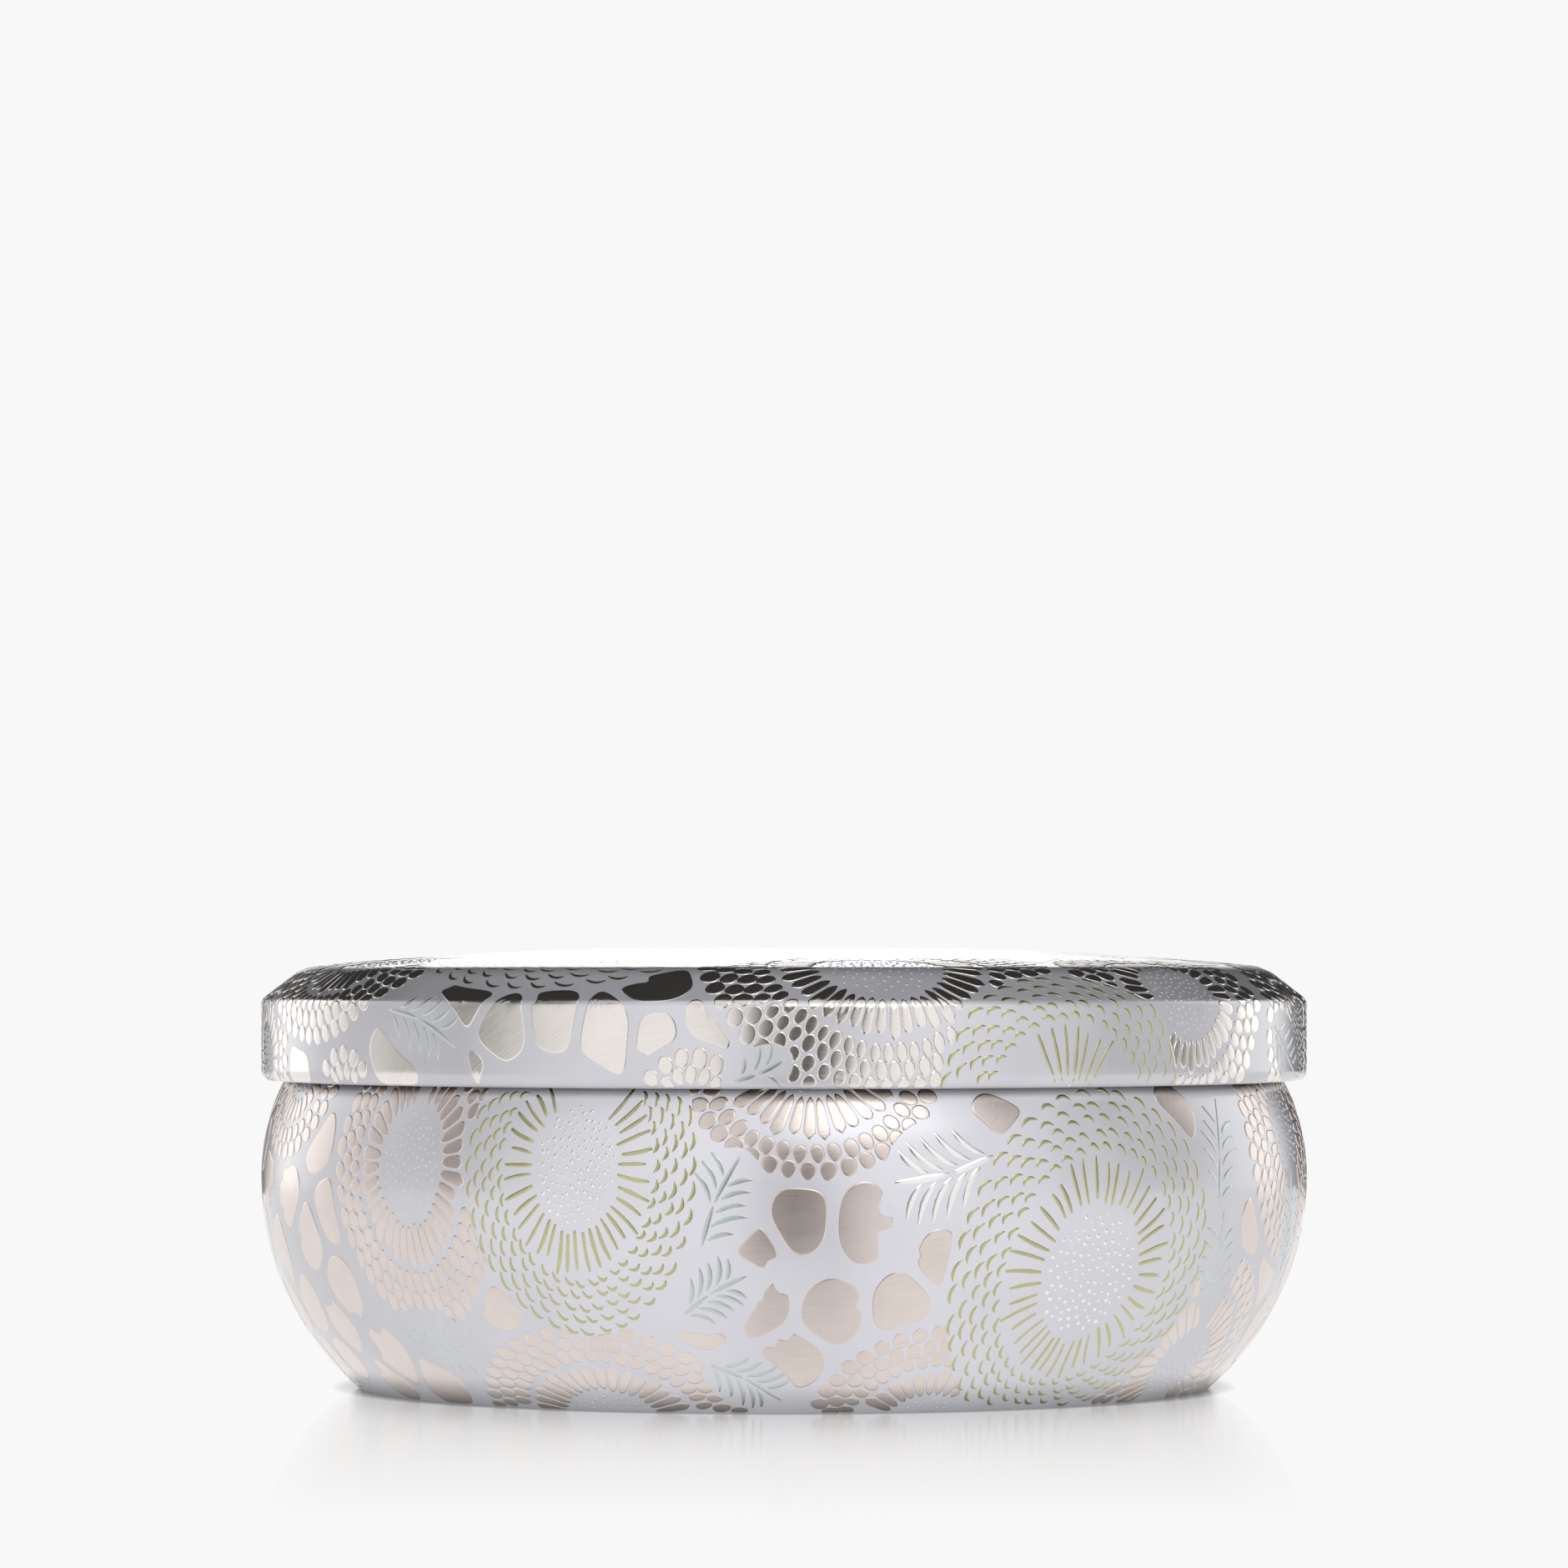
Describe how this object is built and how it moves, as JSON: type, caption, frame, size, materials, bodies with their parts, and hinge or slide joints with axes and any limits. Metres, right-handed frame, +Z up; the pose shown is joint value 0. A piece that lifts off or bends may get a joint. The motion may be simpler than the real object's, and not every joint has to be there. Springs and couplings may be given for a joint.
{
  "type": "candle tin",
  "caption": "Round bulged tinplate candle container with an embossed, lithographed slip-on lid, filled with wax and multiple wicks.",
  "frame": {"origin": "centre of the base, on the surface the tin stands on", "axes": "+Z up along the tin's axis, +X to the right and -Y towards the viewer"},
  "size_m": [0.12, 0.12, 0.0503],
  "materials": {
    "body_print": "satin lacquered lithograph in lavender-grey, champagne, gold and mint over embossed tinplate",
    "lid_print": "satin lacquered lithograph in lavender-grey, champagne, gold and mint over embossed tinplate",
    "wax": "smooth, slightly translucent cream wax",
    "wick_cotton": "flat braided cotton, waxed",
    "sustainer_steel": "tinned",
    "sticker_foam": "double-sided adhesive disc",
    "label_paper": "blank coated paper"
  },
  "bodies": {
    "tin": {"tin_body": "body_print", "wax_fill": "wax", "wick_1": "wick_cotton", "wick_2": "wick_cotton", "wick_3": "wick_cotton", "wick_sustainer_1": "sustainer_steel", "wick_sustainer_2": "sustainer_steel", "wick_sustainer_3": "sustainer_steel", "wick_sticker_1": "sticker_foam", "wick_sticker_2": "sticker_foam", "wick_sticker_3": "sticker_foam", "base_label": "label_paper"},
    "lid": {"lid": "lid_print"}
  },
  "joints": [
    {"name": "lid_lift", "type": "slide", "parent": "tin", "child": "lid", "axis": [0, 0, 1], "range_m": [0, 0.06]}
  ]
}
